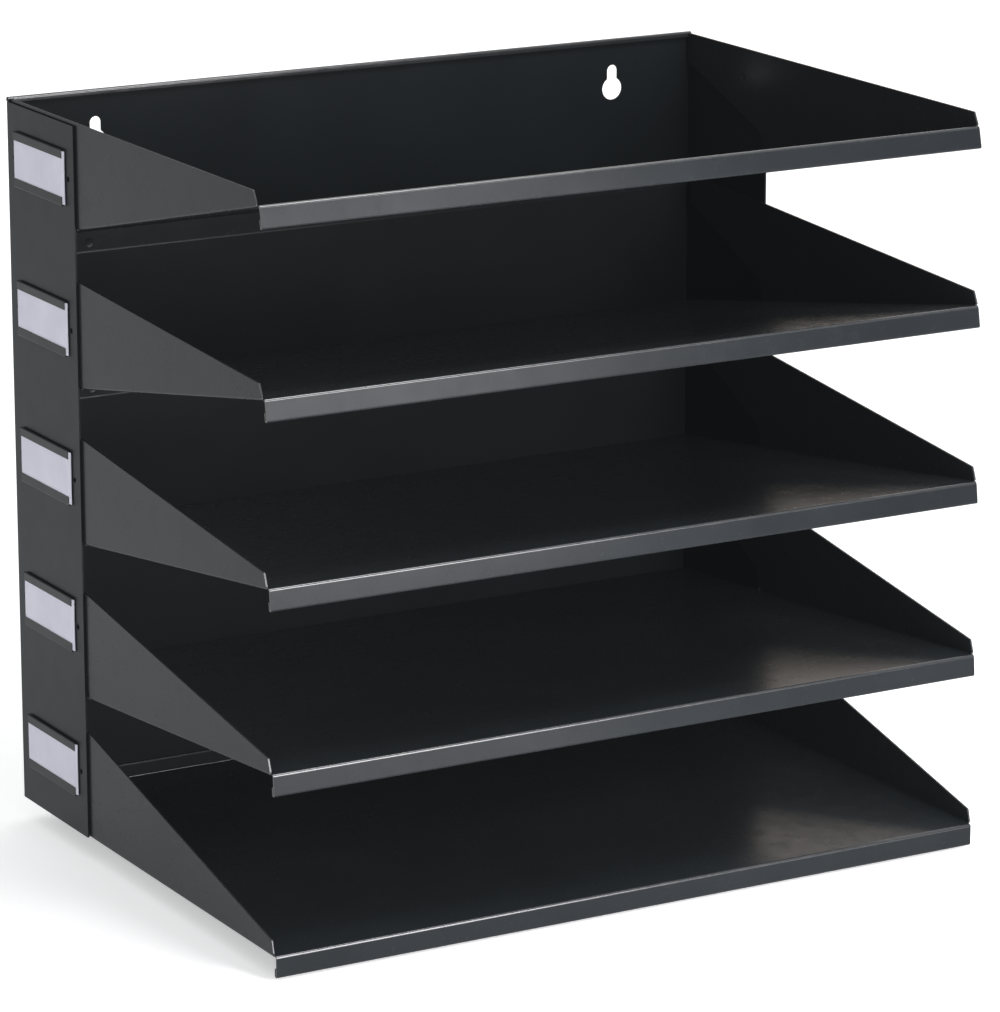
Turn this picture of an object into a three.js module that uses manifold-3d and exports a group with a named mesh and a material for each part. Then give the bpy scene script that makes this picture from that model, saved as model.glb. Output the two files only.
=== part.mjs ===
// Desktop file sorter: five folded sheet-steel trays fanned out in a folded back frame,
// with a card label holder beside each tray. Millimetres, +Z up, the open front faces -Y.
// The origin is on the desk, under the centre of the sorter.
import * as THREE from 'three';
import { mergeVertices } from 'three/addons/utils/BufferGeometryUtils.js';
import Module from 'manifold-3d';

const wasm = await Module();
wasm.setup();

// Sheet metal
const SHEET = 0.8;
const BEND_RADIUS = 0.8;
const GAP = 0.3;

// Facets: steps round a bend and round a hole, sides of a pin hole and of a foot
const BEND_STEPS = 4;
const HOLDER_BEND_STEPS = 3;
const CURVE_STEPS = 10;
const PIN_HOLE_SIDES = 12;
const FOOT_SIDES = 24;
const CUT_LENGTH = 4;
const SAME_POINT = 1e-3;

// Back frame: a back panel with a flange folded forward on each side
const WIDTH = 355;
const FRAME_HEIGHT = 323;
const FLANGE_DEPTH = 69.8;
const RIM_RISE = 2.1;
const RIM_DROP = 2.5;
const RIM_RADIUS = 0.8;
const RIM_ROOT = 8;
const RIM_OVERLAP = 1;

// Trays, counted from the top; the bottom one is level and closes the frame
const TRAY_COUNT = 5;
const TRAY_DEPTH = 249.6;
const FRONT_PITCH = 79.55;
const REAR_PITCH = 67.05;
const FIRST_REAR_STEP = 59.5;
const LIP_HEIGHT = 9.1;
const HEM_HEIGHT = 4;
const HEM_RADIUS = 0.6;
const REAR_FLANGE = 9.85;
const BASE_REAR_FLANGE = 7.5;

// Tray side walls, in the tray's own directions: forward along the floor, and up from it
const WALL_FRONT = 248.4;
const WALL_FRONT_RAKE = 1.9;
const WALL_FRONT_HEIGHT = 7.2;
const WALL_REAR = 16.2;
const WALL_REAR_EDGE = 14;
const WALL_CUT_FOOT = [71.4, 0];
const WALL_CUT_TOP = [69.5, 11];
const BASE_WALL_TOP = 27;
const BASE_WALL_REAR = 2;
const BASE_WALL_REAR_HEIGHT = 24;

// Keyholes for hanging on two screws
const KEYHOLE_X = 134.5;
const KEYHOLE_Z = 301.1;
const KEYHOLE_RADIUS = 5.35;
const KEYHOLE_SLOT = 5.5;
const KEYHOLE_SLOT_TOP = 312.4;

// Label holders and cards on the left flange
const LABEL_PITCH = 67.3;
const HOLDER_SHEET = 0.3;
const HOLDER_REAR = 10;
const HOLDER_LENGTH = 50;
const HOLDER_HEIGHT = 25.1;
const HOLDER_TOP = 311.4;
const HOLDER_LIP = 4;
const HOLDER_CHANNEL = 0.6;
const HOLDER_BEND = 0.2;
const CARD_THICKNESS = 0.3;
const CARD_PROUD = 1.5;
const CARD_MARGIN = 0.8;
const PIN_HOLE_RADIUS = 1.25;
const PIN_HOLE_MARGIN = [2.1, 4];

// Rubber feet under the bottom tray, a little taller than its lip
const FOOT_HEIGHT = 10.2;
const FOOT_TOP_RADIUS = 9.5;
const FOOT_BOTTOM_RADIUS = 8;
const FOOT_EDGE = 1;
const FOOT_SIDE_INSET = 35;
const FOOT_REAR_INSET = 30;
const FOOT_FRONT_INSET = 28;

const DEPTH = SHEET + GAP + TRAY_DEPTH;
const HALF_WIDTH = WIDTH / 2;
const TRAY_HALF_WIDTH = HALF_WIDTH - SHEET - GAP;

const paint = { color: 0x1d1e20, roughness: 0.45, metalness: 0.1 };
const finishes = {
  frame: paint,
  tray: paint,
  holder: { color: 0x26272a, roughness: 0.4, metalness: 0.2 },
  card: { color: 0xc9c9d6, roughness: 0.85, metalness: 0 },
  foot: { color: 0x141414, roughness: 0.9, metalness: 0 },
};

// The two directions that a profile is drawn in; it is extruded along the third
const FORWARD_UP = basis([0, -1, 0], [0, 0, 1]);
const RIGHT_UP = basis([1, 0, 0], [0, 0, 1]);
const LEFT_UP = basis([-1, 0, 0], [0, 0, 1]);
const PLAN = basis([1, 0, 0], [0, 1, 0]);

function basis(right, up) {
  const x = new THREE.Vector3(...right);
  const y = new THREE.Vector3(...up);
  return new THREE.Matrix4().makeBasis(x, y, x.clone().cross(y));
}

function tiltOf(rise) {
  return Math.asin(rise / TRAY_DEPTH);
}

function solidOf(geometry) {
  const bare = geometry.clone();
  bare.deleteAttribute('normal');
  bare.deleteAttribute('uv');
  const merged = mergeVertices(bare, SAME_POINT);
  return new wasm.Manifold(new wasm.Mesh({
    numProp: 3,
    vertProperties: new Float32Array(merged.attributes.position.array),
    triVerts: new Uint32Array(merged.index.array),
  }));
}

function geometryOf(solid) {
  const mesh = solid.getMesh();
  const geometry = new THREE.BufferGeometry();
  geometry.setAttribute('position', new THREE.BufferAttribute(mesh.vertProperties, 3));
  geometry.setIndex(new THREE.BufferAttribute(mesh.triVerts, 1));
  geometry.computeVertexNormals();
  return geometry;
}

function extruded(points, length, matrix, offset = [0, 0, 0]) {
  const shape = points instanceof THREE.Shape ? points : new THREE.Shape(points);
  const geometry = new THREE.ExtrudeGeometry(shape, {
    depth: length,
    bevelEnabled: false,
    curveSegments: CURVE_STEPS,
  });
  return geometry.applyMatrix4(matrix).translate(...offset);
}

// Rounds one corner of a path; returns the points of the arc, each with its normal.
function cornerArc(before, corner, after, radius, steps) {
  const inward = corner.clone().sub(before).normalize();
  const outward = after.clone().sub(corner).normalize();
  const turn = Math.atan2(inward.cross(outward), inward.dot(outward));
  const side = Math.sign(turn);
  const reach = radius * Math.tan(Math.abs(turn) / 2);
  const start = corner.clone().addScaledVector(inward, -reach);
  const normal = new THREE.Vector2(-inward.y, inward.x);
  const centre = start.clone().addScaledVector(normal, side * radius);
  const origin = new THREE.Vector2();
  return Array.from({ length: steps + 1 }, (_, i) => {
    const angle = turn * i / steps;
    return {
      point: start.clone().rotateAround(centre, angle),
      normal: normal.clone().rotateAround(origin, angle),
    };
  });
}

// The closed outline of a folded sheet whose centre line follows the given path.
function foldedSheet(path, thickness, radii, steps = BEND_STEPS) {
  const points = path.map(([x, y]) => new THREE.Vector2(x, y));
  const last = points.length - 1;
  const endNormal = (a, b) => {
    const along = b.clone().sub(a).normalize();
    return new THREE.Vector2(-along.y, along.x);
  };
  const line = [{ point: points[0], normal: endNormal(points[0], points[1]) }];
  for (let i = 1; i < last; i += 1) {
    line.push(...cornerArc(points[i - 1], points[i], points[i + 1], radii[i - 1], steps));
  }
  line.push({ point: points[last], normal: endNormal(points[last - 1], points[last]) });
  const face = (side) => line.map(({ point, normal }) => (
    point.clone().addScaledVector(normal, side * thickness / 2)
  ));
  const outline = [...face(1), ...face(-1).reverse()];
  return outline.filter((p, i) => p.distanceTo(outline[(i + 1) % outline.length]) > SAME_POINT);
}

function mesh(name, geometry, finish) {
  const part = new THREE.Mesh(geometry, new THREE.MeshStandardMaterial(finish));
  part.name = name;
  return part;
}

function box(size, centre) {
  return new THREE.BoxGeometry(...size).translate(...centre);
}

function keyholeCutter(x) {
  const half = KEYHOLE_SLOT / 2;
  const shoulder = Math.asin(half / KEYHOLE_RADIUS);
  const slotEnd = KEYHOLE_SLOT_TOP - half - KEYHOLE_Z;
  const shape = new THREE.Shape();
  shape.absarc(0, 0, KEYHOLE_RADIUS, Math.PI / 2 - shoulder, Math.PI / 2 + shoulder, true);
  shape.absarc(0, slotEnd, half, Math.PI, 0, true);
  return extruded(shape, CUT_LENGTH, RIGHT_UP, [x, CUT_LENGTH / 2, KEYHOLE_Z]);
}

function holderTop(number) {
  return HOLDER_TOP - LABEL_PITCH * (number - 1);
}

function pinHoles() {
  const [rearMargin, frontMargin] = PIN_HOLE_MARGIN;
  const places = [-(HOLDER_REAR - rearMargin), -(HOLDER_REAR + HOLDER_LENGTH + frontMargin)];
  const holes = [];
  for (let number = 1; number <= TRAY_COUNT; number += 1) {
    for (const y of places) {
      const z = holderTop(number) - HOLDER_HEIGHT / 2;
      const hole = new THREE.CylinderGeometry(
        PIN_HOLE_RADIUS,
        PIN_HOLE_RADIUS,
        CUT_LENGTH,
        PIN_HOLE_SIDES,
      );
      holes.push(hole.rotateZ(Math.PI / 2).translate(-HALF_WIDTH, y, z));
    }
  }
  return holes;
}

function backFrame() {
  const side = HALF_WIDTH - SHEET / 2;
  const rear = -SHEET / 2;
  const foldRadius = BEND_RADIUS + SHEET / 2;
  const channel = foldedSheet(
    [[-side, -FLANGE_DEPTH], [-side, rear], [side, rear], [side, -FLANGE_DEPTH]],
    SHEET,
    [foldRadius, foldRadius],
  );
  const rimTop = FRAME_HEIGHT + RIM_RISE - SHEET / 2;
  const rimFront = SHEET / 2 + 2 * RIM_RADIUS;
  const rim = foldedSheet(
    [
      [SHEET / 2, FRAME_HEIGHT - RIM_ROOT],
      [SHEET / 2, rimTop],
      [rimFront, rimTop],
      [rimFront, FRAME_HEIGHT + RIM_RISE - RIM_DROP],
    ],
    SHEET,
    [RIM_RADIUS, RIM_RADIUS],
  );
  let solid = solidOf(extruded(channel, FRAME_HEIGHT, PLAN));
  const rimWidth = WIDTH - 2 * (BEND_RADIUS + SHEET);
  const rimRoot = extruded(rim, rimWidth, FORWARD_UP, [rimWidth / 2, 0, 0]);
  solid = solid.add(solidOf(rimRoot));
  const rimDepth = 2 * RIM_RADIUS + SHEET;
  const endLength = HALF_WIDTH - rimWidth / 2 + RIM_OVERLAP;
  const endHeight = RIM_RISE - GAP;
  for (const side of [-1, 1]) {
    const x = side * (HALF_WIDTH - endLength / 2);
    const end = box([endLength, rimDepth, endHeight], [x, -rimDepth / 2, FRAME_HEIGHT + endHeight / 2]);
    solid = solid.add(solidOf(end));
  }
  for (const x of [-KEYHOLE_X, KEYHOLE_X]) {
    solid = solid.subtract(solidOf(keyholeCutter(x)));
  }
  for (const hole of pinHoles()) {
    solid = solid.subtract(solidOf(hole));
  }
  return mesh('back_frame', geometryOf(solid), finishes.frame);
}

// A side wall. Its top edge is level in the top tray, where its rear edge stands along the back panel.
function wallOutline(isBase) {
  const taper = tiltOf(FRONT_PITCH * (TRAY_COUNT - 1) - rearHeight(1));
  const frontTop = WALL_FRONT - WALL_FRONT_RAKE;
  const topAt = (u) => WALL_FRONT_HEIGHT + (frontTop - u) * Math.tan(taper);
  const rearEdgeFoot = [
    WALL_REAR - WALL_REAR_EDGE * Math.sin(taper),
    topAt(WALL_REAR) - WALL_REAR_EDGE * Math.cos(taper),
  ];
  const rear = isBase
    ? [
      [BASE_WALL_TOP, topAt(BASE_WALL_TOP)],
      [BASE_WALL_REAR, BASE_WALL_REAR_HEIGHT],
      [BASE_WALL_REAR, 0],
    ]
    : [[WALL_REAR, topAt(WALL_REAR)], rearEdgeFoot, WALL_CUT_TOP, WALL_CUT_FOOT];
  const outline = [[WALL_FRONT, 0], [frontTop, WALL_FRONT_HEIGHT], ...rear];
  return outline.map(([x, y]) => new THREE.Vector2(x, y));
}

// Height of a tray's floor at the back panel, above the bottom of the frame.
function rearHeight(number) {
  const above = TRAY_COUNT - number;
  return above === 0 ? 0 : FIRST_REAR_STEP + REAR_PITCH * (above - 1);
}

function trayTilt(number) {
  return tiltOf(FRONT_PITCH * (TRAY_COUNT - number) - rearHeight(number));
}

function tray(number) {
  const isBase = number === TRAY_COUNT;
  const tilt = trayTilt(number);
  const mid = SHEET / 2;
  const rearCorner = (mid + mid * Math.sin(tilt)) / Math.cos(tilt);
  const flange = isBase ? BASE_REAR_FLANGE - mid : -REAR_FLANGE - mid;
  const lip = TRAY_DEPTH - mid;
  const hemInner = lip - 2 * HEM_RADIUS;
  const foldRadius = BEND_RADIUS + mid;
  const profile = foldedSheet(
    [
      [rearCorner + flange * Math.sin(tilt), mid + flange * Math.cos(tilt)],
      [rearCorner, mid],
      [lip, mid],
      [lip, mid - LIP_HEIGHT],
      [hemInner, mid - LIP_HEIGHT],
      [hemInner, HEM_HEIGHT - LIP_HEIGHT],
    ],
    SHEET,
    [foldRadius, foldRadius, HEM_RADIUS, HEM_RADIUS],
  );
  let solid = solidOf(extruded(profile, 2 * TRAY_HALF_WIDTH, FORWARD_UP, [TRAY_HALF_WIDTH, 0, 0]));
  const cornerDepth = SHEET + BEND_RADIUS;
  const cornerHeight = 2 * (LIP_HEIGHT + SHEET);
  for (const side of [-1, 1]) {
    const corner = box(
      [2 * SHEET, 2 * cornerDepth, cornerHeight],
      [side * TRAY_HALF_WIDTH, -TRAY_DEPTH, 0],
    );
    solid = solid.subtract(solidOf(corner));
  }
  for (const right of [TRAY_HALF_WIDTH, SHEET - TRAY_HALF_WIDTH]) {
    solid = solid.add(solidOf(extruded(wallOutline(isBase), SHEET, FORWARD_UP, [right, 0, 0])));
  }
  const part = mesh(`tray_${number}`, geometryOf(solid), finishes.tray);
  part.position.set(0, -(SHEET + GAP), rearHeight(number));
  part.rotation.x = -tilt;
  return part;
}

function labelHolder(number) {
  const mid = HOLDER_SHEET / 2;
  const lip = HOLDER_SHEET + HOLDER_CHANNEL + mid;
  const radius = HOLDER_BEND + mid;
  const profile = foldedSheet(
    [
      [lip, HOLDER_LIP],
      [lip, mid],
      [mid, mid],
      [mid, HOLDER_HEIGHT - mid],
      [lip, HOLDER_HEIGHT - mid],
      [lip, HOLDER_HEIGHT - HOLDER_LIP],
    ],
    HOLDER_SHEET,
    [radius, radius, radius, radius],
    3,
  );
  const part = mesh(
    `label_holder_${number}`,
    extruded(profile, HOLDER_LENGTH, LEFT_UP),
    finishes.holder,
  );
  const y = -HOLDER_REAR - extrusionShift(LEFT_UP, HOLDER_LENGTH);
  part.position.set(-(HALF_WIDTH + GAP), y, holderTop(number) - HOLDER_HEIGHT);
  return part;
}

// How far a profile extruded along Y has to move back so that it starts at its rear end.
function extrusionShift(matrix, length) {
  const along = new THREE.Vector3(0, 0, 1).transformDirection(matrix).y;
  return along > 0 ? length : 0;
}

function labelCard(number) {
  const width = HOLDER_LENGTH + CARD_PROUD;
  const height = HOLDER_HEIGHT - 2 * CARD_MARGIN;
  const part = mesh(
    `label_card_${number}`,
    new THREE.BoxGeometry(CARD_THICKNESS, width, height),
    finishes.card,
  );
  const channelCentre = GAP + HOLDER_SHEET + HOLDER_CHANNEL / 2;
  part.position.set(
    -(HALF_WIDTH + channelCentre),
    -(HOLDER_REAR + width / 2),
    holderTop(number) - HOLDER_HEIGHT / 2,
  );
  return part;
}

function foot(name, x, y) {
  const top = -GAP;
  const bottom = -FOOT_HEIGHT;
  const edge = FOOT_BOTTOM_RADIUS - FOOT_EDGE;
  const corner = FOOT_EDGE * (1 - Math.SQRT1_2);
  const profile = [
    [0, bottom],
    [edge, bottom],
    [FOOT_BOTTOM_RADIUS - corner, bottom + corner],
    [FOOT_BOTTOM_RADIUS, bottom + FOOT_EDGE],
    [FOOT_TOP_RADIUS, top],
    [0, top],
  ].map(([r, z]) => new THREE.Vector2(r, z));
  const geometry = new THREE.LatheGeometry(profile, FOOT_SIDES).rotateX(Math.PI / 2);
  const part = mesh(name, geometry, finishes.foot);
  part.position.set(x, y, 0);
  return part;
}

const sorter = new THREE.Group();
sorter.add(backFrame());
for (let number = 1; number <= TRAY_COUNT; number += 1) {
  sorter.add(tray(number), labelHolder(number), labelCard(number));
}
const footX = HALF_WIDTH - FOOT_SIDE_INSET;
const footRear = -FOOT_REAR_INSET;
const footFront = -(DEPTH - FOOT_FRONT_INSET);
sorter.add(
  foot('foot_front_left', -footX, footFront),
  foot('foot_front_right', footX, footFront),
  foot('foot_rear_left', -footX, footRear),
  foot('foot_rear_right', footX, footRear),
);
sorter.position.set(0, DEPTH / 2, FOOT_HEIGHT);

const model = new THREE.Group();
model.add(sorter);
model.updateMatrixWorld(true);

export default model;
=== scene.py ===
"""Desktop file sorter: folded and painted sheet steel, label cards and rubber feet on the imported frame."""
import math

import bmesh
import bpy
from mathutils import Matrix, Vector


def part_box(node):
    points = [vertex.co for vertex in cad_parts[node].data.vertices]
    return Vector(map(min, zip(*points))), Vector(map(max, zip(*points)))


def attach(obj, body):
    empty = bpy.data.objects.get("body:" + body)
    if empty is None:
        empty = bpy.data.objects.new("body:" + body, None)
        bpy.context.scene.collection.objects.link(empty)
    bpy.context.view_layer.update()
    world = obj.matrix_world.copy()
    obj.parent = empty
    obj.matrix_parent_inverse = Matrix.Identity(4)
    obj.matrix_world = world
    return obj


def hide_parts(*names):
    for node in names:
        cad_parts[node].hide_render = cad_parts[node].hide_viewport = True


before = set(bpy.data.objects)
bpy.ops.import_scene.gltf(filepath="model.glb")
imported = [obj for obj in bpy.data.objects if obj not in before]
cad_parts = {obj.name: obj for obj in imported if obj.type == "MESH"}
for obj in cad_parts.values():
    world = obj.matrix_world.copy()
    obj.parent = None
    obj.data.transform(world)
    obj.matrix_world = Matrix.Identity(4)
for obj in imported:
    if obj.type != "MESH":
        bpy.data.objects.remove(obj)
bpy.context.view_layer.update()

MM = 0.001

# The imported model's own sizes
frame_low, frame_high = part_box("back_frame")
FRAME_REAR = frame_high.y
FRAME_BOTTOM = frame_low.z
HALF_WIDTH = (frame_high.x - frame_low.x) / 2
FLANGE_DEPTH = frame_high.y - frame_low.y
TRAY_COUNT = 5

# Sheet metal. FOLD is the radius of the middle of the sheet at a fold, and TRIM keeps the frame's rounded
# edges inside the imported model's box.
SHEET = 0.8 * MM
MID = SHEET / 2
GAP = 0.3 * MM
FOLD = 0.4 * MM + MID
FOLD_STEPS = 6
# Material slot of the lighter, glossier bend paint that paints highlight lines on folds.
BEND_HIGHLIGHT_SLOT = 2
EDGE_ROUNDING = 0.14 * MM
ROUNDING_STEPS = 2
SHARP_ANGLE = math.radians(40)
TRIM = 0.01 * MM
HOLE_SIDES = 40

# Back frame
RIM_RISE = 2.1 * MM
RIM_DROP = 2.5 * MM
RIM_RADIUS = 0.8 * MM
RIM_CUT = 0.15 * MM
FRAME_TOP = frame_high.z - RIM_RISE
FLANGE_CORNER = 0.8 * MM

# Keyholes and pin holes
KEYHOLE_X = 134.5 * MM
KEYHOLE_Z = 301.1 * MM
KEYHOLE_RADIUS = 5.35 * MM
KEYHOLE_SLOT = 5.5 * MM
KEYHOLE_SLOT_TOP = 312.4 * MM
PIN_HOLE_RADIUS = 1.25 * MM
PIN_HOLE_MARGINS = (2.1 * MM, 4 * MM)
CUT_DEPTH = 4 * MM

# Trays: u runs forward along a tray's floor and v up from it
TRAY_REAR = FRAME_REAR - SHEET - GAP
TRAY_DEPTH = 249.6 * MM
TRAY_HALF_WIDTH = HALF_WIDTH - SHEET - GAP
LIP_HEIGHT = 9.1 * MM
HEM_HEIGHT = 4 * MM
HEM_RADIUS = 0.6 * MM
REAR_FLANGE = 9.85 * MM
BASE_REAR_FLANGE = 7.5 * MM
REAR_KICK = 0.2 * MM
REAR_KICK_HEIGHT = 0.8 * MM
WALL_FRONT = 248.4 * MM
WALL_FRONT_RAKE = 1.9 * MM
WALL_FRONT_HEIGHT = 7.2 * MM
WALL_REAR = 16.2 * MM
WALL_REAR_EDGE = 14 * MM
WALL_CUT_FOOT = (71.4 * MM, 0)
WALL_CUT_TOP = (69.5 * MM, 11 * MM)
BASE_WALL_TOP = 27 * MM
BASE_WALL_REAR = 2 * MM
BASE_WALL_REAR_HEIGHT = 24 * MM
WALL_CORNER = 0.7 * MM

# Small cuts at the ends of a tray's folds
RELIEF = 0.8 * MM
EAR = 0.3 * MM
SLIT = 0.04 * MM

# Spot welds, as marks in the sheet. The profile holds shares of the radius and of the depth.
WELD_RADIUS = 2.3 * MM
WELD_DEPTH = 0.14 * MM
WELD_PROFILE = ((0, -1), (0.45, -1), (0.7, -0.8), (0.9, -0.3), (1, 0), (1.25, 1), (0, 2))
WELD_ROWS = (-139.4 * MM, -46.5 * MM, 46.5 * MM, 139.4 * MM)
WELD_REACH = 0.55
WALL_WELDS = ((38 * MM, 47.5 * MM), (60 * MM, 37 * MM))

# Label holders and cards
HOLDER_SHEET = 0.3 * MM
HOLDER_LIP = 4 * MM
HOLDER_FOLD = 0.2 * MM + HOLDER_SHEET / 2
HOLDER_PINCH = 0.12 * MM
CARD_THICKNESS = 0.3 * MM
CARD_BOW = 0.08 * MM
CARD_CURL = 0.45 * MM
CARD_CURL_LENGTH = 1.5 * MM
CARD_GRID = (32, 8)

# Feet
FOOT_EDGE = 1.1 * MM
FOOT_BOTTOM_RADIUS = 8 * MM
FOOT_RECESS_RADIUS = 3.6 * MM
FOOT_RECESS_DEPTH = 1.4 * MM
FOOT_SIDES = 64

# Powder coat: orange peel, and the wave of the sheet under it
PEEL_SIZE = 1.3 * MM
PEEL_DEPTH = 0.007 * MM
WAVE_SIZE = 60 * MM
WAVE_DEPTH = 0.05 * MM

# Camera, aimed at a point near the middle of the sorter
CAMERA_AZIMUTH = -29.59
CAMERA_ELEVATION = 14.93
CAMERA_DISTANCE = 2.2465
CAMERA_AIM = (0.0004, -0.0042, 0.1544)
CAMERA_LENS = 178.84

# Studio light: name, place, point aimed at, size, spread in degrees, power in watts and colour
MIDDLE = (0, 0, 0.17)
LIGHTS = (
    ("overhead light", (0.2, -0.33, 1.0), (-0.1, -0.1, 0.2), (0.36, 0.26), 180, 3.6, (0.97, 0.98, 1)),
    ("near front light", (0.2, -0.85, 0.33), MIDDLE, (0.36, 0.45), 180, 7.4, (1, 0.97, 1)),
    ("low front light", (0.0, -0.42, 0.05), (-0.14, -0.12, 0.04), (0.28, 0.09), 180, 0.34, (1, 0.97, 1)),
    ("left front light", (-1.3, -1.4, 0.4), MIDDLE, (1.0, 0.7), 180, 4.8, (0.94, 0.98, 1)),
    ("rear right light", (1.3, 1.7, 0.62), MIDDLE, (0.6, 0.4), 180, 1.2, (1, 0.86, 0.76)),
    ("rear top light", (0.9, 1.1, 1.5), MIDDLE, (0.9, 0.7), 180, 3.8, (1, 0.99, 0.98)),
    ("rear floor light", (0.3, 2.6, 1.4), (0.5, 1.9, 0), (1.8, 1.0), 80, 3.2, (1, 1, 1)),
)

# Floor and world; the world glows more from straight above than from the horizon
FLOOR_CORNERS = ((-4, -4), (4, -4), (4, 6), (-4, 6))
FLOOR_GLOW = 0.45
WORLD_COLOUR = (0.98, 0.99, 1, 1)
WORLD_GLOW = {"From Min": 0, "From Max": 1, "To Min": 0.03, "To Max": 0.87}


# ---------------------------------------------------------------- outlines and folds

def cross(a, b):
    return a.x * b.y - a.y * b.x


def corner_arc(before, corner, after, radius, steps):
    """The points of a round bend at one corner of a path."""
    inward = (corner - before).normalized()
    outward = (after - corner).normalized()
    turn = math.atan2(cross(inward, outward), inward.dot(outward))
    start = corner - inward * radius * math.tan(abs(turn) / 2)
    normal = Vector((-inward.y, inward.x)) * math.copysign(radius, turn)
    centre = start + normal
    return [centre - Matrix.Rotation(turn * i / steps, 2) @ normal for i in range(steps + 1)]


def rounded(path, radii, steps=FOLD_STEPS):
    """A path with a radius at each of its inner corners; a radius of 0 leaves the corner sharp."""
    points = [Vector(p) for p in path]
    line = [points[0]]
    for before, corner, after, radius in zip(points, points[1:], points[2:], radii):
        line += corner_arc(before, corner, after, radius, steps) if radius else [corner]
    return line + [points[-1]]


def mirrored(right):
    """A closed outline from its right half, which starts and ends at the two ends of the middle line."""
    return right + [(-x, y) for x, y in reversed(right)]


# ---------------------------------------------------------------- meshes and pieces

def flat(mesh, points, slot=0):
    """Adds one flat face."""
    mesh.faces.new([mesh.verts.new(p) for p in points]).material_index = slot


def strip(mesh, rows, highlighted=0):
    """Adds the faces between neighbouring rows, each a pair of points; the first few take the bend paint, a
    painted highlight.
    """
    for i, ((a, b), (c, d)) in enumerate(zip(rows, rows[1:])):
        flat(mesh, (a, b, d, c), BEND_HIGHLIGHT_SLOT if i < highlighted else 0)


def lathe(mesh, profile, sides, matrix):
    """Adds a closed solid turned about its own Z axis from a profile that starts and ends on it."""
    rings = []
    for radius, height in profile:
        count = sides if radius else 1
        angles = [2 * math.pi * i / sides for i in range(count)]
        ring = [(radius * math.cos(a), radius * math.sin(a), height) for a in angles]
        rings.append([mesh.verts.new(matrix @ Vector(p)) for p in ring])
    for lower, upper in zip(rings, rings[1:]):
        for i in range(sides):
            j = (i + 1) % sides
            below = (lower[i % len(lower)], lower[j % len(lower)])
            above = (upper[j % len(upper)], upper[i % len(upper)])
            mesh.faces.new(dict.fromkeys(below + above))


def prism(mesh, outline, depth, matrix):
    """Adds a solid from an outline in its own XY plane, as deep below that plane as above it."""
    ends = [[mesh.verts.new(matrix @ Vector((x, y, z))) for x, y in outline] for z in (-depth / 2, depth / 2)]
    for end in ends:
        mesh.faces.new(end)
    count = len(outline)
    for i in range(count):
        j = (i + 1) % count
        mesh.faces.new((ends[0][i], ends[0][j], ends[1][j], ends[1][i]))


def piece(name, mesh, materials):
    """Makes an object of a bmesh, with its points merged and its faces pointing out."""
    bmesh.ops.remove_doubles(mesh, verts=mesh.verts, dist=0.001 * MM)
    bmesh.ops.recalc_face_normals(mesh, faces=mesh.faces)
    data = bpy.data.meshes.new(name)
    mesh.to_mesh(data)
    mesh.free()
    made = bpy.data.objects.new(name, data)
    bpy.context.scene.collection.objects.link(made)
    for material in materials:
        data.materials.append(material)
    return made


def applied(made):
    """Applies the modifiers of a piece."""
    graph = bpy.context.evaluated_depsgraph_get()
    data = bpy.data.meshes.new_from_object(made.evaluated_get(graph))
    made.modifiers.clear()
    made.data = data


def thickened(made, thickness):
    """Gives a folded surface its sheet thickness; the cut edges take the second material."""
    solid = made.modifiers.new("thickness", "SOLIDIFY")
    solid.thickness = thickness
    solid.offset = 0
    solid.use_even_offset = True
    solid.material_offset_rim = 1
    applied(made)


def cut(made, cutter_mesh):
    """Takes the cutter's solids out of a piece."""
    cutter = piece("cutter", cutter_mesh, made.data.materials)
    take = made.modifiers.new("cut", "BOOLEAN")
    take.operation = "DIFFERENCE"
    take.solver = "EXACT"
    take.object = cutter
    applied(made)
    bpy.data.objects.remove(cutter)


def finished(made, rounding):
    """Rounds the edges of a piece and shades its flats flat and its folds smooth."""
    if rounding:
        bevel = made.modifiers.new("edges", "BEVEL")
        bevel.width = rounding
        bevel.segments = ROUNDING_STEPS
        bevel.limit_method = "ANGLE"
        bevel.angle_limit = SHARP_ANGLE
        applied(made)
    made.data.polygons.foreach_set("use_smooth", [True] * len(made.data.polygons))
    made.data.set_sharp_from_angle(angle=SHARP_ANGLE)
    normals = made.modifiers.new("normals", "WEIGHTED_NORMAL")
    normals.keep_sharp = True
    normals.weight = 100
    applied(made)


def placed(made, body, node):
    """Puts a finished piece in its CAD node's place."""
    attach(made, body)
    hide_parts(node)


def facing(point, normal):
    """A matrix whose Z axis is the given normal and whose origin is the given point."""
    direction = Vector(normal).normalized()
    return Matrix.Translation(point) @ direction.to_track_quat("Z", "Y").to_matrix().to_4x4()


def weld_mark(mesh, point, normal):
    """Adds the cutter for one spot weld: a shallow round dent with a flat middle."""
    profile = [(radius * WELD_RADIUS, height * WELD_DEPTH) for radius, height in WELD_PROFILE]
    lathe(mesh, profile, HOLE_SIDES // 2, facing(point, normal))


# ---------------------------------------------------------------- materials

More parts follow.
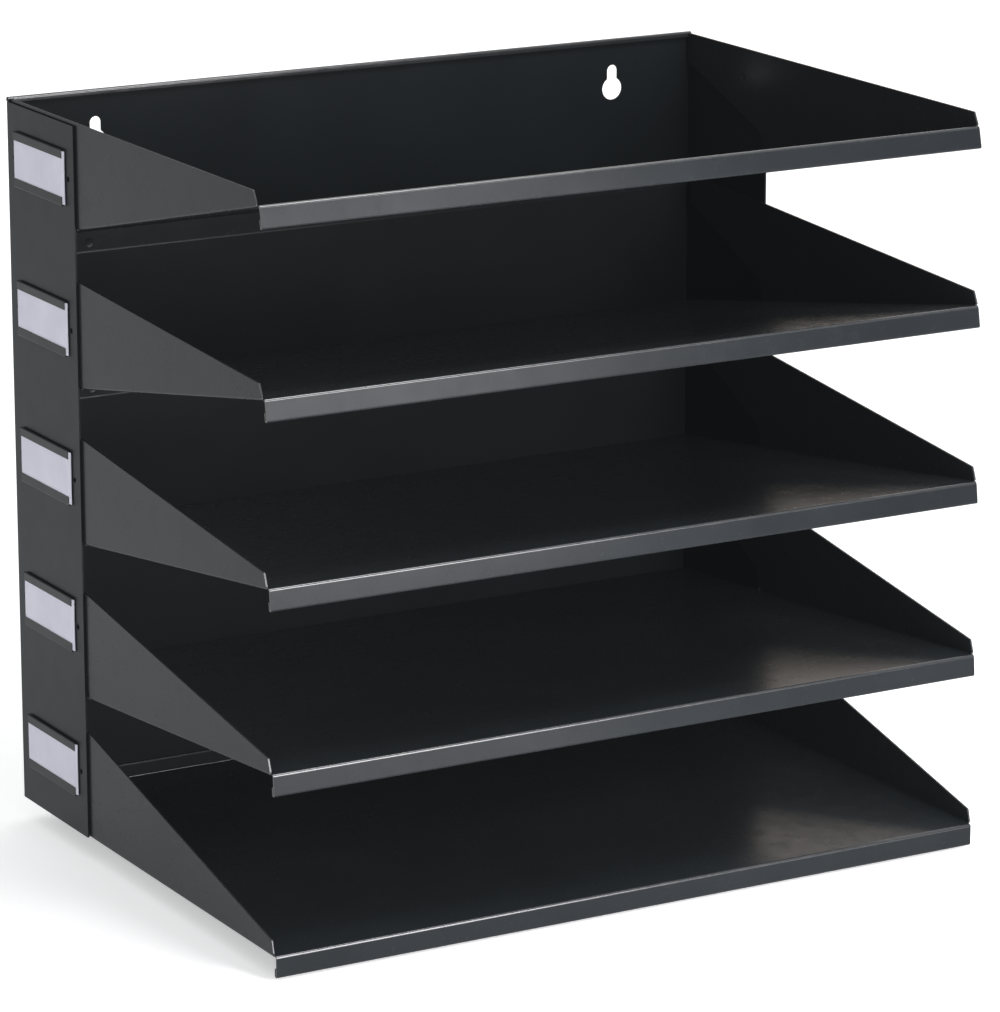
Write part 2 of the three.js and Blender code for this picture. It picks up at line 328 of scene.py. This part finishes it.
class Nodes:
    """A material's node tree, with short calls for the nodes used here."""

    def __init__(self, name):
        self.material = bpy.data.materials.new(name)
        self.material.use_nodes = True
        self.tree = self.material.node_tree
        self.shader = self.tree.nodes["Principled BSDF"]
        self.place = self.tree.nodes.new("ShaderNodeTexCoord").outputs["Object"]

    def link(self, output, socket):
        self.tree.links.new(output, socket)

    def noise(self, size, detail=2.0, roughness=0.5, stretch=None):
        """Noise with features of about the given size, in metres."""
        node = self.tree.nodes.new("ShaderNodeTexNoise")
        node.inputs["Scale"].default_value = 1 / size
        node.inputs["Detail"].default_value = detail
        node.inputs["Roughness"].default_value = roughness
        place = self.place
        if stretch:
            mapping = self.tree.nodes.new("ShaderNodeMapping")
            mapping.inputs["Scale"].default_value = stretch
            self.link(place, mapping.inputs["Vector"])
            place = mapping.outputs["Vector"]
        self.link(place, node.inputs["Vector"])
        return node.outputs["Fac"]

    def ramp(self, factor, stops):
        """Colours by position along the factor."""
        node = self.tree.nodes.new("ShaderNodeValToRGB")
        elements = node.color_ramp.elements
        while len(elements) < len(stops):
            elements.new(0.5)
        for element, (position, colour) in zip(elements, stops):
            element.position = position
            element.color = (*colour, 1)
        self.link(factor, node.inputs["Fac"])
        return node.outputs["Color"]

    def span(self, factor, low, high):
        """Spreads the middle part of a noise over a range of values."""
        node = self.tree.nodes.new("ShaderNodeMapRange")
        node.inputs["From Min"].default_value = 0.3
        node.inputs["From Max"].default_value = 0.7
        node.inputs["To Min"].default_value = low
        node.inputs["To Max"].default_value = high
        self.link(factor, node.inputs["Value"])
        return node.outputs["Result"]

    def bump(self, height, depth, under=None):
        """Turns a height from 0 to 1 into a surface normal, over another bump if one is given."""
        node = self.tree.nodes.new("ShaderNodeBump")
        node.inputs["Distance"].default_value = depth
        self.link(height, node.inputs["Height"])
        if under:
            self.link(under, node.inputs["Normal"])
        return node.outputs["Normal"]


def shade(colour, factor):
    return tuple(c * factor for c in colour)


def powder_coat(name, colour, gloss, specular=0.12, painted_glow=0.003):
    """Satin powder coat: a fine orange peel over a barely wavy sheet, cloudy gloss, and a faint painted glow
    that lifts its shade.
    """
    nodes = Nodes(name)
    clouds = nodes.noise(45 * MM, 3)
    tone = nodes.ramp(clouds, [(0.3, shade(colour, 0.9)), (0.7, shade(colour, 1.1))])
    nodes.link(tone, nodes.shader.inputs["Base Color"])
    rub = nodes.noise(9 * MM, 4, 0.6)
    nodes.link(nodes.span(rub, gloss - 0.03, gloss + 0.04), nodes.shader.inputs["Roughness"])
    wave = nodes.bump(nodes.noise(WAVE_SIZE, 1), WAVE_DEPTH)
    orange_peel = nodes.bump(nodes.noise(PEEL_SIZE, 2), PEEL_DEPTH, wave)
    nodes.link(orange_peel, nodes.shader.inputs["Normal"])
    nodes.shader.inputs["Specular IOR Level"].default_value = specular
    # The glow is painted light: a faint bluish emission that lifts the paint where it lies in shade.
    nodes.shader.inputs["Emission Color"].default_value = (0.86, 0.95, 1, 1)
    nodes.shader.inputs["Emission Strength"].default_value = painted_glow
    return nodes.material


def card_paper(name):
    """Uncoated card: pale fibres and a slightly uneven white."""
    nodes = Nodes(name)
    fibres = nodes.noise(0.5 * MM, 5, 0.7, (1, 0.35, 1))
    clouds = nodes.noise(14 * MM, 2)
    tone = nodes.ramp(clouds, [(0.3, (0.60, 0.60, 0.69)), (0.7, (0.66, 0.66, 0.74))])
    nodes.link(tone, nodes.shader.inputs["Base Color"])
    nodes.link(nodes.span(fibres, 0.65, 0.8), nodes.shader.inputs["Roughness"])
    nodes.link(nodes.bump(fibres, 0.02 * MM), nodes.shader.inputs["Normal"])
    return nodes.material


def foot_rubber(name):
    """Moulded rubber: matt and slightly dusty, with a fine grain."""
    nodes = Nodes(name)
    dust = nodes.noise(3 * MM, 4, 0.6)
    tone = nodes.ramp(dust, [(0.35, (0.012, 0.012, 0.012)), (0.75, (0.024, 0.024, 0.023))])
    nodes.link(tone, nodes.shader.inputs["Base Color"])
    nodes.link(nodes.span(dust, 0.68, 0.85), nodes.shader.inputs["Roughness"])
    grain = nodes.bump(nodes.noise(0.35 * MM, 3), 0.03 * MM)
    nodes.link(grain, nodes.shader.inputs["Normal"])
    return nodes.material


def floor_paint(name):
    """A plain pale floor with a hint of unevenness and a soft glow."""
    nodes = Nodes(name)
    tone = nodes.ramp(nodes.noise(250 * MM, 2), [(0.3, (0.9, 0.9, 0.9)), (0.7, (0.93, 0.93, 0.93))])
    nodes.link(tone, nodes.shader.inputs["Base Color"])
    nodes.shader.inputs["Roughness"].default_value = 0.8
    nodes.shader.inputs["Emission Color"].default_value = (1, 1, 1, 1)
    nodes.shader.inputs["Emission Strength"].default_value = FLOOR_GLOW
    return nodes.material


# ---------------------------------------------------------------- back frame

def keyhole(mesh, x):
    """Adds the cutter for a keyhole: a round hole with a narrow slot with a round end above it."""
    half = KEYHOLE_SLOT / 2
    shoulder = math.asin(half / KEYHOLE_RADIUS)
    slot_end = KEYHOLE_SLOT_TOP - half - KEYHOLE_Z
    sweep = 2 * math.pi - 2 * shoulder
    turns = [math.pi / 2 + shoulder + sweep * i / HOLE_SIDES for i in range(HOLE_SIDES + 1)]
    outline = [(KEYHOLE_RADIUS * math.cos(a), KEYHOLE_RADIUS * math.sin(a)) for a in turns]
    ends = [math.pi * i / HOLE_SIDES for i in range(0, HOLE_SIDES + 1, 2)]
    outline += [(half * math.cos(a), slot_end + half * math.sin(a)) for a in ends]
    centre = Matrix.Translation((x, FRAME_REAR, FRAME_BOTTOM + KEYHOLE_Z))
    prism(mesh, outline, CUT_DEPTH, centre @ Matrix.Rotation(math.pi / 2, 4, "X"))


def pin_hole(mesh, y, z):
    """Adds the cutter for a small hole in the left flange."""
    turns = [2 * math.pi * i / HOLE_SIDES for i in range(HOLE_SIDES)]
    outline = [(PIN_HOLE_RADIUS * math.cos(a), PIN_HOLE_RADIUS * math.sin(a)) for a in turns]
    prism(mesh, outline, CUT_DEPTH, facing((-HALF_WIDTH, y, z), (1, 0, 0)))


def frame_surface():
    """The middle surface of the back frame: a panel, two flanges and a rolled rim along the top."""
    mesh = bmesh.new()
    panel_y = FRAME_REAR - MID - TRIM
    panel_half = HALF_WIDTH - MID - FOLD
    rim_half = HALF_WIDTH - EDGE_ROUNDING
    rim_top = FRAME_TOP + RIM_RISE - MID - TRIM
    rim_start = rim_top - RIM_RADIUS
    cut_line = FRAME_TOP + RIM_CUT
    right = [
        (panel_half, FRAME_BOTTOM), (panel_half, FRAME_TOP), (panel_half, cut_line),
        (rim_half, cut_line), (rim_half, rim_start),
    ]
    flat(mesh, [(x, panel_y, z) for x, z in mirrored(right)])
    rim_front = -2 * RIM_RADIUS
    rim = rounded(
        [(0, rim_start), (0, rim_top), (rim_front, rim_top), (rim_front, frame_high.z - RIM_DROP)],
        [RIM_RADIUS, RIM_RADIUS],
    )
    # The rolled rim takes the bend paint all round, a painted highlight line.
    strip(mesh, [((-rim_half, panel_y + y, z), (rim_half, panel_y + y, z)) for y, z in rim[1:]], len(rim))
    for side in (-1, 1):
        turns = [math.pi / 2 * i / FOLD_STEPS for i in range(FOLD_STEPS + 1)]
        fold = [(panel_half + FOLD * math.sin(a), panel_y - FOLD * (1 - math.cos(a))) for a in turns]
        strip(mesh, [((side * x, y, FRAME_BOTTOM), (side * x, y, FRAME_TOP)) for x, y in fold])
        x, start = fold[-1]
        front = FRAME_REAR - FLANGE_DEPTH
        outline = rounded(
            [(start, FRAME_BOTTOM), (front, FRAME_BOTTOM), (front, FRAME_TOP), (start, FRAME_TOP)],
            [FLANGE_CORNER, FLANGE_CORNER],
        )
        flat(mesh, [(side * x, y, z) for y, z in outline])
    return mesh


def back_frame():
    paints = [FRAME_PAINT, FRAME_PAINT, BEND_HIGHLIGHT_PAINT, FRAME_PAINT]
    made = piece("folded_back_frame", frame_surface(), paints)
    thickened(made, SHEET)
    holes = bmesh.new()
    for side in (-1, 1):
        keyhole(holes, side * KEYHOLE_X)
    for number in range(1, TRAY_COUNT + 1):
        low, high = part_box(f"label_holder_{number}")
        middle = (low.z + high.z) / 2
        rear_margin, front_margin = PIN_HOLE_MARGINS
        pin_hole(holes, high.y + rear_margin, middle)
        pin_hole(holes, low.y - front_margin, middle)
    cut(made, holes)
    marks = bmesh.new()
    for number in range(1, TRAY_COUNT + 1):
        for x in WELD_ROWS:
            weld_mark(marks, (x, FRAME_REAR, rear_weld(number).z), (0, 1, 0))
    cut(made, marks)
    finished(made, EDGE_ROUNDING)
    placed(made, "frame", "back_frame")


# ---------------------------------------------------------------- trays

def tray_place(number):
    """The matrix from a tray's own (x, u, v) to the row frame, and its tilt, from the CAD node's floor."""
    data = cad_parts[f"tray_{number}"].data
    floor = max((p for p in data.polygons if p.normal.z > 0.9), key=lambda p: p.area)
    tilt = math.atan2(floor.normal.y, floor.normal.z)
    forward = Vector((0, -math.cos(tilt), math.sin(tilt)))
    up = Vector((0, math.sin(tilt), math.cos(tilt)))
    height = (floor.center.dot(up) - SHEET - TRAY_REAR * up.y) / up.z
    turn = Matrix(((1, 0, 0), (0, forward.y, up.y), (0, forward.z, up.z))).to_4x4()
    return Matrix.Translation((0, TRAY_REAR, height)) @ turn, tilt


def rear_corner(tilt):
    """Where the middle of the floor meets the middle of the upright rear flange."""
    return (MID + MID * math.sin(tilt)) / math.cos(tilt)


def flange_reach(number):
    """How far the rear flange runs up from the middle of the floor; below 0 it runs down."""
    return BASE_REAR_FLANGE - MID if number == TRAY_COUNT else -REAR_FLANGE - MID


def rear_weld(number):
    """A point near half the height of a tray's rear flange."""
    place, tilt = tray_place(number)
    reach = flange_reach(number) * WELD_REACH
    return place @ Vector((0, rear_corner(tilt) + reach * math.sin(tilt), MID + reach * math.cos(tilt)))


def wall_outline(number, rear, front):
    """The flat part of a tray's side wall above its fold, as (u, v) from the front round to the rear."""
    foot = MID + FOLD
    front_top = WALL_FRONT - WALL_FRONT_RAKE
    taper = tray_place(1)[1]
    nose = WALL_FRONT - WALL_FRONT_RAKE * (foot + EAR) / WALL_FRONT_HEIGHT

    def top_at(u):
        return (u, WALL_FRONT_HEIGHT + (front_top - u) * math.tan(taper))

    if number == TRAY_COUNT:
        back = [top_at(BASE_WALL_TOP), (BASE_WALL_REAR, BASE_WALL_REAR_HEIGHT)]
    else:
        u, v = top_at(WALL_REAR)
        edge_foot = (u - WALL_REAR_EDGE * math.sin(taper), v - WALL_REAR_EDGE * math.cos(taper))
        back = [(u, v), edge_foot, WALL_CUT_TOP]
    path = [(front, foot), (nose, foot + EAR), top_at(front_top), *back, (rear, foot)]
    return rounded(path, [0] + [WALL_CORNER] * (len(path) - 3))


def tray_surface(number):
    """The middle surface of a tray: floor, two side walls, hemmed front lip and rear flange."""
    place, tilt = tray_place(number)
    base = number == TRAY_COUNT
    side_in = TRAY_HALF_WIDTH - MID - FOLD
    lip_half = TRAY_HALF_WIDTH - SHEET
    lip_u = TRAY_DEPTH - MID
    hem_u = lip_u - 2 * HEM_RADIUS
    bottom = MID - LIP_HEIGHT
    hem_top = HEM_HEIGHT - LIP_HEIGHT
    lip = rounded(
        [(TRAY_DEPTH / 2, MID), (lip_u, MID), (lip_u, bottom), (hem_u, bottom), (hem_u, hem_top)],
        [FOLD, HEM_RADIUS, HEM_RADIUS],
    )[1:]
    corner = rear_corner(tilt)
    reach = flange_reach(number)
    upward = Vector((math.sin(tilt), math.cos(tilt)))
    forward = Vector((math.cos(tilt), -math.sin(tilt)))
    flange_start = Vector((corner, MID))
    kick_start = flange_start + upward * (reach - math.copysign(REAR_KICK_HEIGHT, reach))
    flange_end = flange_start + upward * reach - forward * math.copysign(REAR_KICK, reach)
    rear = rounded([(TRAY_DEPTH / 2, MID), flange_start, kick_start, flange_end], [FOLD, 0])[1:]
    foot = MID + FOLD
    cut_slope = (WALL_CUT_FOOT[0] - WALL_CUT_TOP[0]) / WALL_CUT_TOP[1]
    wall_rear = BASE_WALL_REAR if base else WALL_CUT_FOOT[0] - cut_slope * foot
    wall_front = lip[0].x - RELIEF
    rear_half = side_in - RELIEF if base else TRAY_HALF_WIDTH
    rear_notch = rear[0].x + EAR if base else wall_rear - SLIT
    lip_notch = lip[0].x - EAR

    mesh = bmesh.new()
    right = [
        (rear_half, rear[0].x), (rear_half, rear_notch), (side_in, rear_notch), (side_in, wall_rear),
        (side_in, wall_front), (side_in, lip_notch), (lip_half, lip_notch), (lip_half, lip[0].x),
    ]
    flat(mesh, [place @ Vector((x, u, MID)) for x, u in mirrored(right)])
    # The first fold rows of the lip and rear flange take the bend paint, a painted highlight line.
    for half, line in ((lip_half, lip), (rear_half, rear)):
        strip(mesh, [[place @ Vector((x, u, v)) for x in (-half, half)] for u, v in line], FOLD_STEPS)
    turns = [math.pi / 2 * i / FOLD_STEPS for i in range(FOLD_STEPS + 1)]
    fold = [(side_in + FOLD * math.sin(a), MID + FOLD * (1 - math.cos(a))) for a in turns]
    outline = wall_outline(number, wall_rear, wall_front)
    for side in (-1, 1):
        strip(mesh, [[place @ Vector((side * x, u, v)) for u in (wall_rear, wall_front)] for x, v in fold])
        wall_x = side * (TRAY_HALF_WIDTH - MID)
        flat(mesh, [place @ Vector((wall_x, u, v)) for u, v in outline])
    return mesh


def tray(number):
    paints = [TRAY_PAINT, EDGE_HIGHLIGHT_PAINT, BEND_HIGHLIGHT_PAINT, EDGE_HIGHLIGHT_PAINT]
    made = piece(f"folded_tray_{number}", tray_surface(number), paints)
    thickened(made, SHEET)
    place = tray_place(number)[0]
    marks = bmesh.new()
    height = rear_weld(number).z
    for x in WELD_ROWS:
        weld_mark(marks, (x, TRAY_REAR - SHEET, height), (0, -1, 0))
    for side in (-1, 1):
        for u, v in WALL_WELDS:
            weld_mark(marks, place @ Vector((side * (TRAY_HALF_WIDTH - SHEET), u, v)), (-side, 0, 0))
    cut(made, marks)
    finished(made, EDGE_ROUNDING)
    placed(made, "frame", f"tray_{number}")


# ---------------------------------------------------------------- labels

def label_holder(number):
    """A strip folded into a channel: a back plate and two lips that pinch the card lightly."""
    low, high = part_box(f"label_holder_{number}")
    mid = HOLDER_SHEET / 2
    plate = high.x - mid
    lip = low.x + mid
    path = rounded(
        [
            (lip + HOLDER_PINCH, low.z + HOLDER_LIP), (lip, low.z + mid), (plate, low.z + mid),
            (plate, high.z - mid), (lip, high.z - mid), (lip + HOLDER_PINCH, high.z - HOLDER_LIP),
        ],
        [HOLDER_FOLD] * 4,
    )
    mesh = bmesh.new()
    strip(mesh, [((x, low.y, z), (x, high.y, z)) for x, z in path])
    made = piece(f"holder_channel_{number}", mesh, [HOLDER_PAINT, EDGE_HIGHLIGHT_PAINT])
    thickened(made, HOLDER_SHEET)
    finished(made, EDGE_ROUNDING / 2)
    placed(made, "frame", f"label_holder_{number}")


def label_card(number):
    """A card that bows a little between the lips; its free end curls back towards the flange."""
    low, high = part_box(f"label_card_{number}")
    middle = (low.x + high.x) / 2
    along, across = CARD_GRID
    mesh = bmesh.new()

    def point(i, j):
        y = high.y + (low.y - high.y) * i / along
        across_share = 2 * j / across - 1
        curl = max(0, 1 - (y - low.y) / CARD_CURL_LENGTH) ** 2
        x = middle - CARD_BOW * (1 - across_share ** 2) + CARD_CURL * curl
        return (x, y, low.z + (high.z - low.z) * j / across)

    for i in range(along):
        strip(mesh, [(point(i, j), point(i + 1, j)) for j in range(across + 1)])
    made = piece(f"paper_card_{number}", mesh, [CARD_PAPER])
    thickened(made, CARD_THICKNESS)
    finished(made, 0)
    placed(made, f"card_{number}", f"label_card_{number}")


# ---------------------------------------------------------------- feet

def foot(place_name):
    """A moulded foot with rounded edges and a round recess in its bottom."""
    node = f"foot_{place_name}"
    low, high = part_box(node)
    top_radius = (high.x - low.x) / 2
    height = high.z - low.z
    profile = rounded(
        [
            (0, FOOT_RECESS_DEPTH), (FOOT_RECESS_RADIUS, FOOT_RECESS_DEPTH), (FOOT_RECESS_RADIUS, 0),
            (FOOT_BOTTOM_RADIUS, 0), (top_radius, height), (0, height),
        ],
        [FOOT_EDGE / 2, FOOT_EDGE / 3, FOOT_EDGE, FOOT_EDGE / 2],
    )
    mesh = bmesh.new()
    centre = Vector(((low.x + high.x) / 2, (low.y + high.y) / 2, low.z))
    lathe(mesh, [tuple(p) for p in profile], FOOT_SIDES, Matrix.Translation(centre))
    made = piece(f"rubber_{node}", mesh, [FOOT_RUBBER])
    finished(made, 0)
    placed(made, "frame", node)


# ---------------------------------------------------------------- studio

def camera():
    azimuth = math.radians(CAMERA_AZIMUTH)
    elevation = math.radians(CAMERA_ELEVATION)
    back = Vector((
        math.sin(azimuth) * math.cos(elevation),
        -math.cos(azimuth) * math.cos(elevation),
        math.sin(elevation),
    ))
    data = bpy.data.cameras.new("camera")
    data.lens = CAMERA_LENS
    data.sensor_width = 36
    made = bpy.data.objects.new("camera", data)
    made.location = Vector(CAMERA_AIM) + back * CAMERA_DISTANCE
    made.rotation_mode = "QUATERNION"
    made.rotation_quaternion = (-back).to_track_quat("-Z", "Y")
    bpy.context.scene.collection.objects.link(made)
    bpy.context.scene.camera = made


def softbox(name, place, aim, size, spread, power, colour):
    """A large rectangular light."""
    data = bpy.data.lights.new(name, "AREA")
    data.shape = "RECTANGLE"
    data.size, data.size_y = size
    data.spread = math.radians(spread)
    data.energy = power
    data.color = colour
    made = bpy.data.objects.new(name, data)
    made.location = place
    made.rotation_mode = "QUATERNION"
    made.rotation_quaternion = (Vector(aim) - Vector(place)).to_track_quat("-Z", "Y")
    bpy.context.scene.collection.objects.link(made)


def studio():
    mesh = bmesh.new()
    flat(mesh, [(x, y, 0) for x, y in FLOOR_CORNERS])
    floor = piece("studio_floor", mesh, [floor_paint("pale floor")])
    world = bpy.data.worlds.new("studio")
    world.use_nodes = True
    tree = world.node_tree
    direction = tree.nodes.new("ShaderNodeTexCoord").outputs["Generated"]
    split = tree.nodes.new("ShaderNodeSeparateXYZ")
    tree.links.new(direction, split.inputs["Vector"])
    glow = tree.nodes.new("ShaderNodeMapRange")
    for socket, value in WORLD_GLOW.items():
        glow.inputs[socket].default_value = value
    tree.links.new(split.outputs["Z"], glow.inputs["Value"])
    tree.links.new(glow.outputs["Result"], tree.nodes["Background"].inputs["Strength"])
    tree.nodes["Background"].inputs["Color"].default_value = WORLD_COLOUR
    bpy.context.scene.world = world
    for light in LIGHTS:
        softbox(*light)
    bpy.context.scene.view_settings.view_transform = "Standard"


# Each powder coat's last number, where given, is its painted glow that lifts the paint in shade.
FRAME_PAINT = powder_coat("frame powder coat", (0.0130, 0.0155, 0.0175), 0.31, 0.07, 0.0045)
TRAY_PAINT = powder_coat("tray powder coat", (0.0145, 0.0170, 0.0190), 0.25, 0.1, 0.005)
# Edge paint: a lighter, glossier copy of the tray paint on the cut sheet edges, painted to show thin
# highlight lines.
EDGE_HIGHLIGHT_PAINT = powder_coat("cut edge powder coat", (0.024, 0.027, 0.029), 0.28, 0.5)
# Bend paint: a lighter, far glossier copy of the paint on chosen folds, painted to show bright highlight
# lines.
BEND_HIGHLIGHT_PAINT = powder_coat("burnished bend powder coat", (0.020, 0.022, 0.024), 0.22, 0.9)
HOLDER_PAINT = powder_coat("holder paint", (0.0155, 0.0172, 0.0185), 0.32)
CARD_PAPER = card_paper("card paper")
FOOT_RUBBER = foot_rubber("moulded rubber")

back_frame()
for number in range(1, TRAY_COUNT + 1):
    tray(number)
    label_holder(number)
    label_card(number)
for place_name in ("front_left", "front_right", "rear_left", "rear_right"):
    foot(place_name)
camera()
studio()
